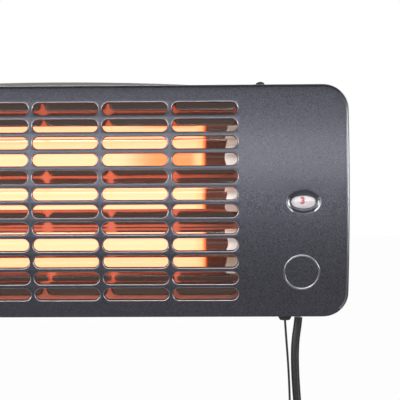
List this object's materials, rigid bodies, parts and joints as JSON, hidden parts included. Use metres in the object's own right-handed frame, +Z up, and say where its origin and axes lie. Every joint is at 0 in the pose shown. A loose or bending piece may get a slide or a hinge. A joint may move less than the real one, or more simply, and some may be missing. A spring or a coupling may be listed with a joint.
{
  "type": "electric bar heater",
  "caption": "Wall-mounted electric bar heater: quartz tubes behind an arched, slotted steel front, pull-cord step switch with a number window, tilting wall bracket, pull cord and mains lead.",
  "frame": {"origin": "middle of the wall bracket's back face, at the height of the middle tube", "axes": "+X right, +Z up, the front faces -Y and the wall is the plane Y = 0"},
  "size_m": [0.5, 0.108, 0.4943],
  "materials": {
    "grey_paint": "satin metallic grey coating with a fine speckle",
    "housing_paint": "satin grey coating",
    "bracket_paint": "satin warm grey coating",
    "polished_sheet": "bright rolled aluminium",
    "zinc_steel": "zinc plated",
    "quartz": "clear fused quartz",
    "element": "glowing resistance wire",
    "ceramic": "unglazed white",
    "wire_sleeve": "glass braid sleeve",
    "white_plastic": "white",
    "clear_plastic": "clear",
    "black_plastic": "black moulded",
    "cord": "black twisted cord",
    "lead_jacket": "black round jacket",
    "spring_steel": "bright spring steel",
    "brass": "bright"
  },
  "bodies": {
    "wall_mount": {"wall_bracket": "bracket_paint", "pivot_bolt_left": "zinc_steel", "pivot_bolt_right": "zinc_steel", "pivot_nut_left": "zinc_steel", "pivot_nut_right": "zinc_steel"},
    "heater_body": {"front_cover": "grey_paint", "rear_housing": "housing_paint", "reflector": "polished_sheet", "end_plate_left": "polished_sheet", "end_plate_right": "polished_sheet", "hinge_lug_left": "zinc_steel", "hinge_lug_right": "zinc_steel", "cover_screw_left": "zinc_steel", "cover_screw_right": "zinc_steel", "quartz_tube_top": "quartz", "quartz_tube_middle": "quartz", "quartz_tube_bottom": "quartz", "heating_coil_top": "element", "heating_coil_middle": "element", "heating_coil_bottom": "element", "end_cap_top_left": "ceramic", "end_cap_top_right": "ceramic", "end_cap_middle_left": "ceramic", "end_cap_middle_right": "ceramic", "end_cap_bottom_left": "ceramic", "end_cap_bottom_right": "ceramic", "switch_bracket": "zinc_steel", "switch_body": "black_plastic", "lever_spring": "spring_steel", "window_lens": "clear_plastic", "cord_bushing": "black_plastic", "cable_gland": "black_plastic", "inner_cable": "lead_jacket", "terminal_block": "white_plastic", "thermal_cutout": "black_plastic", "earth_screw": "brass", "link_wire": "brass", "return_wire": "wire_sleeve", "feed_wire_top": "wire_sleeve", "feed_wire_middle": "wire_sleeve", "feed_wire_bottom": "wire_sleeve"},
    "number_drum": {"indicator_drum": "white_plastic", "ratchet_wheel": "black_plastic", "drum_shaft": "spring_steel"},
    "lever": {"pull_lever": "black_plastic"},
    "pull_link": {"inner_cord": "cord"},
    "hanging_cord": {"pull_cord": "cord", "pull_knob": "black_plastic"},
    "hanging_lead": {"mains_cable": "lead_jacket", "cable_hank": "lead_jacket", "cable_tie": "black_plastic", "plug_cord": "lead_jacket", "plug_body": "black_plastic", "plug_pin_left": "brass", "plug_pin_right": "brass"}
  },
  "joints": [
    {"name": "tilt", "type": "hinge", "parent": "wall_mount", "child": "heater_body", "pos_m": [0, -0.016, -0.038], "axis": [1, 0, 0], "range_deg": [0, 15]},
    {"name": "cord_pull", "type": "slide", "parent": "heater_body", "child": "pull_link", "axis": [0, 0, -1], "range_m": [0, 0.012], "stiffness_N_per_m": 300, "springref_m": -0.002},
    {"name": "lever_turn", "type": "hinge", "parent": "heater_body", "child": "lever", "pos_m": [0.2, -0.089, 0.0003], "axis": [-1, 0, 0], "range_deg": [0, 50.5]},
    {"name": "drum_turn", "type": "hinge", "parent": "heater_body", "child": "number_drum", "pos_m": [0.2136, -0.089, 0.0003], "axis": [1, 0, 0], "continuous": true},
    {"name": "cord_swing", "type": "hinge", "parent": "pull_link", "child": "hanging_cord", "pos_m": [0.2004, -0.075, -0.0985], "axis": [1, 0, 0], "range_deg": [-15.5, 0.5]},
    {"name": "lead_swing", "type": "hinge", "parent": "heater_body", "child": "hanging_lead", "pos_m": [0.214, -0.038, -0.102], "axis": [1, 0, 0], "range_deg": [-15.5, 0.5]}
  ],
  "couplings": [
    {"joint": "lever_turn", "follows": "cord_pull", "rad_per_m": 72.722},
    {"joint": "cord_swing", "follows": "tilt", "ratio": -1},
    {"joint": "lead_swing", "follows": "tilt", "ratio": -1}
  ]
}
